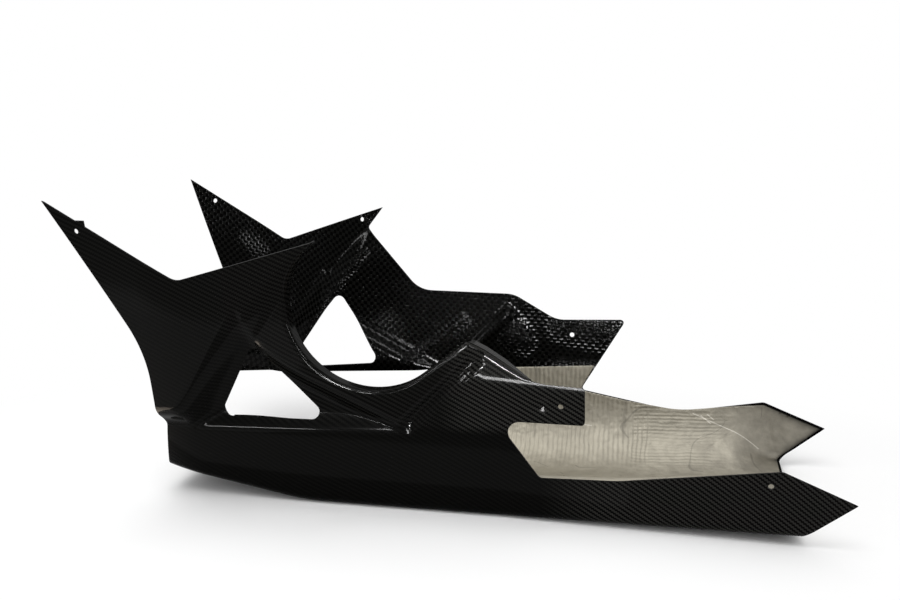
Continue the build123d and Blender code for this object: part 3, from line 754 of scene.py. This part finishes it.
foil_grids += [(staggered_grid(rib_low, (LEVEL_RIBS[1], foil_reach), FINE_GRID), FINE_GRID)]
scratch_points = []
for start, end in FOIL_SCRATCHES:
    along = np.array(end) - np.array(start)
    aside = np.array((-along[1], along[0])) / np.hypot(*along)
    steps = np.linspace(0, 1, ceil(np.hypot(*along) / SCRATCH_STEP))[:, None]
    for shift in (-SCRATCH_ASIDE, 0.0, SCRATCH_ASIDE):
        scratch_points.append(np.array(start) + steps * along + aside * shift)
foil_grids += [(laid_flat(np.vstack(scratch_points), 1), SCRATCH_GRID)]
foil_flat, foil_triangles = flat_mesh(foil_loops, foil_grids)
foil_outward = outward(foil_flat)
foil_under = moulded(foil_flat) - foil_outward * (WALL + FOIL_GAP)
foil_upper = foil_under - foil_outward * FOIL


def bridged_corner(points, flat):
    """The foil spans the corner between floor and wall in a wide round instead of following it."""
    x, side, girth = flat[:, 0], np.sign(flat[:, 1]), np.abs(flat[:, 1])
    lean, lift = np.arctan(lower_lean(x)), WALL + FOIL_GAP + FOIL
    turn = pi / 2 - lean
    corner_z = keel_height(x) + lift
    corner_half = keel_half(x) + lower_lean(x) * lift - lift / np.cos(lean)
    own = (KEEL_RADIUS - lift) * np.tan(turn / 2)
    angle = np.clip((girth - FLOOR_REACH) / KEEL_RADIUS, 0, turn)
    on_floor = np.abs(points[:, 1]) - corner_half
    on_wall = (points[:, 2] - corner_z) / np.cos(lean)
    along = np.where(angle <= 0, on_floor, np.where(angle >= turn, on_wall, own * (2 * angle / turn - 1)))
    reach = BRIDGE * np.tan(turn / 2)
    spin = turn * np.clip((along + reach) / (2 * reach), 0, 1)
    half = corner_half - reach + BRIDGE * np.sin(spin)
    z = corner_z + BRIDGE * (1 - np.cos(spin))
    share = eased(x - FOIL_FRONT_X, *BRIDGE_FRONT) * eased(HOOK_X - x, *BRIDGE_REAR)
    share = np.where(np.abs(along) < reach, share, 0)
    arc = np.stack([x, side * half, z], axis=1)
    return points + (arc - points) * share[:, None]


def between(value, low, high, rise, fall):
    """Nought outside low and high and one between them, with a smooth rise and fall inside."""
    return eased(value, low, low + rise) * eased(-value, -high, fall - high)


foil_upper = bridged_corner(foil_upper, foil_flat)
foil_x, foil_z, foil_girth = foil_flat[:, 0], foil_under[:, 2], foil_flat[:, 1]
right_wall = eased(foil_girth - FLOOR_REACH, *RIB_WALL)
row_wall = eased(foil_girth - FLOOR_REACH, *ROW_WALL)
upright = between(foil_x, *UPRIGHT_RIBS, RIB_FADE, RIB_FADE)
level = between(foil_x, *LEVEL_RIBS, RIB_FADE, LEVEL_RIB_FADE)
scratched = np.zeros(len(foil_flat))
for start, end in FOIL_SCRATCHES:
    depth = np.clip(1 - from_run(foil_x, foil_z, start, end) / SCRATCH_HALF, 0, 1)
    scratched = np.maximum(scratched, depth * (foil_girth > FLOOR_REACH))
seam = np.zeros(len(foil_flat))
for place in FOIL_SEAMS:
    seam = np.maximum(seam, np.exp(-((foil_x - place) / SEAM_HALF) ** 2) * right_wall)
# Share of the darker rear colour, rising in two steps towards the rear.
rear_tone = eased(foil_x, *REAR_TONE_FIRST_STEP) * 0.5 + eased(foil_x, *REAR_TONE_SECOND_STEP) * 0.5
foil_edge_finder = edge_finder(foil_border)
from_edge = np.array([foil_edge_finder.find((x, y, 0))[2] for x, y in foil_flat])
soiled = SOIL_MOST * np.exp(-from_edge / SOIL_REACH) * eased(foil_x, *SOIL_FADE)


def foil_finish():
    """Foil lighter in front and darker and more mottled at the rear, with pressed rows, painted shade along
    fold lines, soil and scratches.
    """
    material, tree, shader = new_material("rubbed_foil")
    front_foil = blended(tree, speckle(tree, scale=24.0, detail=4.0), FRONT_FOIL_DARK, FRONT_FOIL_LIGHT)
    rear_foil = blended(tree, speckle(tree, scale=60.0, detail=5.0), REAR_FOIL_DARK, REAR_FOIL_LIGHT)
    # Darker and more mottled towards the rear.
    colour = blended(tree, marked(tree, "rear_tone"), front_foil, rear_foil)
    colour = blended(tree, marked(tree, "soiled"), colour, SOIL_COLOUR)
    colour = blended(tree, marked(tree, "scratched"), colour, SCRATCH_COLOUR)
    # Painted shade: thin dark lines along fold lines, where a crease would fall into shade.
    middle = calculate(tree, "SUBTRACT", speckle(tree, scale=10.0, detail=1.0), 0.5)
    line = calculate(tree, "ABSOLUTE", middle)
    broken = calculate(tree, "GREATER_THAN", speckle(tree, scale=23.0, detail=2.0), 0.5)
    fold = calculate(tree, "MULTIPLY", calculate(tree, "LESS_THAN", line, FOLD_LINE), broken)
    colour = blended(tree, calculate(tree, "MULTIPLY", fold, FOLD_SHADE_SHARE), colour, FOLD_SHADE_COLOUR)
    tree.links.new(colour, shader.inputs["Base Color"])
    place = tree.nodes.new("ShaderNodeAttribute")
    place.attribute_name = "place"
    parts = tree.nodes.new("ShaderNodeSeparateXYZ")
    tree.links.new(place.outputs["Vector"], parts.inputs["Vector"])
    sway = calculate(tree, "MULTIPLY", speckle(tree, scale=26.0, detail=3.0), ROW_SWAY)
    across = calculate(tree, "ADD", parts.outputs["X"], sway)
    along = calculate(tree, "ADD", parts.outputs["Y"], sway)
    across = calculate(tree, "SINE", calculate(tree, "MULTIPLY", across, 2 * pi / ROW_PITCH))
    along = calculate(tree, "SINE", calculate(tree, "MULTIPLY", along, 2 * pi / ROW_PITCH))
    rows = calculate(tree, "MULTIPLY", across, marked(tree, "upright_rows"))
    rows = calculate(tree, "MULTIPLY_ADD", along, marked(tree, "level_rows"), rows)
    pressed = raised(tree, rows, strength=0.35, distance=0.0008)
    grain = speckle(tree, scale=130.0, detail=4.0)
    rubbed = raised(tree, grain, strength=0.3, distance=0.002, below=pressed)
    tree.links.new(rubbed, shader.inputs["Normal"])
    shader.inputs["Metallic"].default_value = 1.0
    shader.inputs["Roughness"].default_value = 0.6
    return material


foil_finished = foil_finish()
foil_values = {
    "rear_tone": rear_tone,
    "upright_ribs": upright * right_wall,
    "level_ribs": level * right_wall,
    "upright_rows": upright * row_wall,
    "level_rows": LEVEL_ROW_SHARE * level * row_wall,
    "soiled": np.maximum(soiled, SEAM_SOIL * seam),
    "scratched": scratched,
}
foil_marks = {name: np.tile(values, 2) for name, values in foil_values.items()}
foil_marks["inward"] = np.vstack([np.zeros_like(foil_under), -foil_outward * MM])
foil_marks["place"] = np.tile(np.column_stack([foil_flat, np.zeros(len(foil_flat))]), (2, 1))
foil = sheet_object(
    "heat_foil_sheet", foil_flat, foil_triangles, foil_under, foil_upper, None,
    (foil_finished, foil_finished, foil_finished), foil_marks,
)

crease_tree = bpy.data.node_groups.new("foil_creases", "GeometryNodeTree")
crease_tree.interface.new_socket("Geometry", in_out="INPUT", socket_type="NodeSocketGeometry")
crease_tree.interface.new_socket("Geometry", in_out="OUTPUT", socket_type="NodeSocketGeometry")
crease_sizes = {
    "Rib Pitch": RIB_PITCH, "Rib Height": RIB_HEIGHT,
    "Crease Size": CREASE_SIZE, "Crease Height": CREASE_HEIGHT, "Seed": CREASE_SEED,
}
crease_sockets = {}
for name in crease_sizes:
    crease_sockets[name] = crease_tree.interface.new_socket(
        name, in_out="INPUT", socket_type="NodeSocketFloat"
    )
crease_in = crease_tree.nodes.new("NodeGroupInput")
crease_out = crease_tree.nodes.new("NodeGroupOutput")


def foil_mark(name, kind="FLOAT"):
    node = crease_tree.nodes.new("GeometryNodeInputNamedAttribute")
    node.data_type = kind
    node.inputs["Name"].default_value = name
    return node.outputs["Attribute"]


def folds(size, seed):
    """Sharp folds: the distance of a noise from its middle value."""
    texture = crease_tree.nodes.new("ShaderNodeTexNoise")
    texture.noise_dimensions = "4D"
    texture.inputs["Detail"].default_value = 2.0
    crease_tree.links.new(foil_mark("place", "FLOAT_VECTOR"), texture.inputs["Vector"])
    crease_tree.links.new(calculate(crease_tree, "DIVIDE", 1.0, size), texture.inputs["Scale"])
    crease_tree.links.new(seed, texture.inputs["W"])
    middle = calculate(crease_tree, "SUBTRACT", texture.outputs["Fac"], 0.5)
    return calculate(crease_tree, "ABSOLUTE", middle)


def ribs(place, pitch):
    turned = calculate(crease_tree, "MULTIPLY", calculate(crease_tree, "DIVIDE", place, pitch), 2 * pi)
    return calculate(crease_tree, "MULTIPLY_ADD", calculate(crease_tree, "SINE", turned), 0.5, 0.5)


size_in = crease_in.outputs
parts = crease_tree.nodes.new("ShaderNodeSeparateXYZ")
crease_tree.links.new(foil_mark("place", "FLOAT_VECTOR"), parts.inputs["Vector"])
wander = calculate(crease_tree, "MULTIPLY", folds(size_in["Crease Size"], size_in["Rib Pitch"]), RIB_WANDER)
upright_ribs = ribs(calculate(crease_tree, "ADD", parts.outputs["X"], wander), size_in["Rib Pitch"])
level_ribs = ribs(calculate(crease_tree, "ADD", parts.outputs["Y"], wander), size_in["Rib Pitch"])
lift = calculate(crease_tree, "MULTIPLY", upright_ribs, foil_mark("upright_ribs"))
lift = calculate(crease_tree, "MULTIPLY_ADD", level_ribs, foil_mark("level_ribs"), lift)
lift = calculate(crease_tree, "MULTIPLY_ADD", foil_mark("scratched"), SCRATCH_LIFT, lift)
lift = calculate(crease_tree, "MULTIPLY", lift, size_in["Rib Height"])
small = calculate(crease_tree, "MULTIPLY", size_in["Crease Size"], SMALL_CREASE)
wide_folds, small_folds = folds(size_in["Crease Size"], size_in["Seed"]), folds(small, size_in["Seed"])
crease = calculate(crease_tree, "ADD", wide_folds, small_folds)
lift = calculate(crease_tree, "MULTIPLY_ADD", crease, size_in["Crease Height"], lift)
offset = crease_tree.nodes.new("ShaderNodeVectorMath")
offset.operation = "SCALE"
crease_tree.links.new(foil_mark("inward", "FLOAT_VECTOR"), offset.inputs[0])
crease_tree.links.new(lift, offset.inputs["Scale"])
moved = crease_tree.nodes.new("GeometryNodeSetPosition")
crease_tree.links.new(crease_in.outputs["Geometry"], moved.inputs["Geometry"])
crease_tree.links.new(offset.outputs["Vector"], moved.inputs["Offset"])
realized = crease_tree.nodes.new("GeometryNodeRealizeInstances")
crease_tree.links.new(moved.outputs["Geometry"], realized.inputs["Geometry"])
coated = crease_tree.nodes.new("GeometryNodeSetMaterial")
coated.inputs["Material"].default_value = foil_finished
crease_tree.links.new(realized.outputs["Geometry"], coated.inputs["Geometry"])
crease_tree.links.new(coated.outputs["Geometry"], crease_out.inputs["Geometry"])
crease_modifier = foil.modifiers.new("foil_creases", "NODES")
crease_modifier.node_group = crease_tree
for name, value in crease_sizes.items():
    crease_modifier[crease_sockets[name].identifier] = value
creased = bpy.data.meshes.new_from_object(foil.evaluated_get(bpy.context.evaluated_depsgraph_get()))
foil.modifiers.remove(crease_modifier)
creased.name = "heat_foil_sheet"
foil.data = creased
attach(foil, "root")
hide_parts("heat_foil")

# Floor.
# A plain pale sheet under the part, wide enough to reach past the view.
# It takes the part's shadow near by and turns to plain white farther out.
FLOOR_HALF, FLOOR_COLOUR = 30, (0.94, 0.94, 0.94, 1)
SHADOW_REACH, WHITE_FROM, WHITE_AT = (0.56, 0.34), 0.9, 1.5


def seen_plainly(tree):
    """One for what the camera, gloss and glass see, nought for rays that only bring light."""
    rays = tree.nodes.new("ShaderNodeLightPath")
    seen = calculate(tree, "MAXIMUM", rays.outputs["Is Camera Ray"], rays.outputs["Is Glossy Ray"])
    return calculate(tree, "MAXIMUM", seen, rays.outputs["Is Transmission Ray"])


floor_mesh = bpy.data.meshes.new("floor")
floor_corners = [(x * FLOOR_HALF, y * FLOOR_HALF, 0) for x, y in ((-1, -1), (1, -1), (1, 1), (-1, 1))]
floor_mesh.from_pydata(floor_corners, [], [(0, 1, 2, 3)])
floor_piece = bpy.data.objects.new("floor", floor_mesh)
bpy.context.scene.collection.objects.link(floor_piece)
floor_material, floor_tree, floor_shader = new_material("pale_floor")
floor_shader.inputs["Base Color"].default_value = FLOOR_COLOUR
floor_shader.inputs["Roughness"].default_value = 1.0
floor_shader.inputs["Specular IOR Level"].default_value = 0.0
floor_place = floor_tree.nodes.new("ShaderNodeTexCoord")
floor_share = floor_tree.nodes.new("ShaderNodeVectorMath")
floor_share.operation = "MULTIPLY"
floor_share.inputs[1].default_value = (1 / SHADOW_REACH[0], 1 / SHADOW_REACH[1], 1)
floor_tree.links.new(floor_place.outputs["Object"], floor_share.inputs[0])
floor_reach = floor_tree.nodes.new("ShaderNodeVectorMath")
floor_reach.operation = "LENGTH"
floor_tree.links.new(floor_share.outputs["Vector"], floor_reach.inputs[0])
floor_far = floor_tree.nodes.new("ShaderNodeMapRange")
floor_far.interpolation_type = "SMOOTHSTEP"
floor_far.inputs["From Min"].default_value = WHITE_FROM
floor_far.inputs["From Max"].default_value = WHITE_AT
floor_tree.links.new(floor_reach.outputs["Value"], floor_far.inputs["Value"])
floor_turned = calculate(floor_tree, "MULTIPLY", floor_far.outputs["Result"], seen_plainly(floor_tree))
floor_white = floor_tree.nodes.new("ShaderNodeEmission")
floor_mix = floor_tree.nodes.new("ShaderNodeMixShader")
floor_tree.links.new(floor_turned, floor_mix.inputs[0])
floor_tree.links.new(floor_shader.outputs["BSDF"], floor_mix.inputs[1])
floor_tree.links.new(floor_white.outputs["Emission"], floor_mix.inputs[2])
floor_tree.links.new(floor_mix.outputs["Shader"], floor_tree.nodes["Material Output"].inputs["Surface"])
floor_mesh.materials.append(floor_material)

# Camera.
# It stands where the photograph was taken from: on the pan's left, towards its tail and a little above it.
LENS, SENSOR = 40.0, 36.0
CAMERA_PLACE = Vector((0.2468, -1.152, 0.4706))
CAMERA_AHEAD = Vector((-0.2162, 0.9555, -0.2006)).normalized()
CAMERA_RIGHT = Vector((0.9759, 0.2179, -0.0141)).normalized()
camera_up = CAMERA_RIGHT.cross(CAMERA_AHEAD)
camera_data = bpy.data.cameras.new("photo_camera")
camera_data.lens = LENS
camera_data.sensor_width = SENSOR
camera = bpy.data.objects.new("photo_camera", camera_data)
turn = Matrix((CAMERA_RIGHT, camera_up, -CAMERA_AHEAD)).transposed()
camera.matrix_world = Matrix.Translation(CAMERA_PLACE) @ turn.to_4x4()
bpy.context.scene.collection.objects.link(camera)
bpy.context.scene.camera = camera

# Studio light.
# A white room and one large soft lamp from the upper left light the whole part.
# Narrow strips and low cards show only in the shell's gloss.
ROOM_LIGHT, WARM = 0.75, (1.0, 0.86, 0.72)
shell_only = bpy.data.collections.new("lit_by_strips")
shell_only.objects.link(shell)


def lamp(name, place, target, width, height, power, gloss_only=False, colour=(1, 1, 1)):
    data = bpy.data.lights.new(name, "AREA")
    data.shape = "RECTANGLE"
    data.size = width
    data.size_y = height
    data.energy = power
    data.color = colour
    light = bpy.data.objects.new(name, data)
    light.location = place
    light.rotation_euler = (Vector(target) - Vector(place)).to_track_quat("-Z", "Y").to_euler()
    bpy.context.scene.collection.objects.link(light)
    if gloss_only:
        light.visible_camera = False
        light.visible_diffuse = False
        light.light_linking.receiver_collection = shell_only


lamp("overhead", (-0.4, -0.4, 1.8), (0, 0, 0.1), 1.6, 1.2, 18.0)
lamp("strip_high", (0.0, -1.0, 1.5), (0, 0, 0.15), 1.6, 0.06, 60.0, gloss_only=True)
lamp("strip_low", (-0.86, -1.5, 0.2), (-0.2, 0, 0.1), 0.34, 0.04, 14.0, gloss_only=True)
lamp("front_low", (-0.04, -1.5, 0.12), (0.1, 0, 0.15), 0.4, 0.14, 44.0, gloss_only=True)
lamp("strip_left", (-1.32, -0.64, 0.84), (-0.2, 0.12, 0.2), 0.06, 0.5, 20.0, gloss_only=True)
lamp("front_left", (-0.42, -1.5, 0.52), (0.05, 0.13, 0.16), 0.16, 0.14, 22.0, gloss_only=True)
lamp("front_upper", (0.06, -1.5, 0.78), (0.12, 0.13, 0.16), 0.5, 0.24, 300.0, gloss_only=True)
lamp("strip_right", (1.1, -0.7, 0.45), (0, 0, 0.15), 0.1, 0.9, 45.0, gloss_only=True)
lamp("card_panel", (-0.56, -0.4, 0.004), (-0.56, -0.4, 1.0), 0.56, 0.3, 1.0, gloss_only=True)
lamp("card_corner", (-0.5, -0.2, 0.004), (-0.5, -0.2, 1.0), 0.2, 0.16, 2.4, gloss_only=True, colour=WARM)
lamp("card_low", (-0.1, -0.19, 0.004), (-0.1, -0.19, 1.0), 0.6, 0.08, 0.16, gloss_only=True)
room = bpy.data.worlds.new("white_room")
room.use_nodes = True
room_tree = room.node_tree
background = room_tree.nodes["Background"]
background.inputs["Color"].default_value = (1, 1, 1, 1)
room_light = calculate(room_tree, "MULTIPLY_ADD", seen_plainly(room_tree), 1 - ROOM_LIGHT, ROOM_LIGHT)
room_tree.links.new(room_light, background.inputs["Strength"])
bpy.context.scene.world = room
bpy.context.scene.view_settings.view_transform = "Standard"
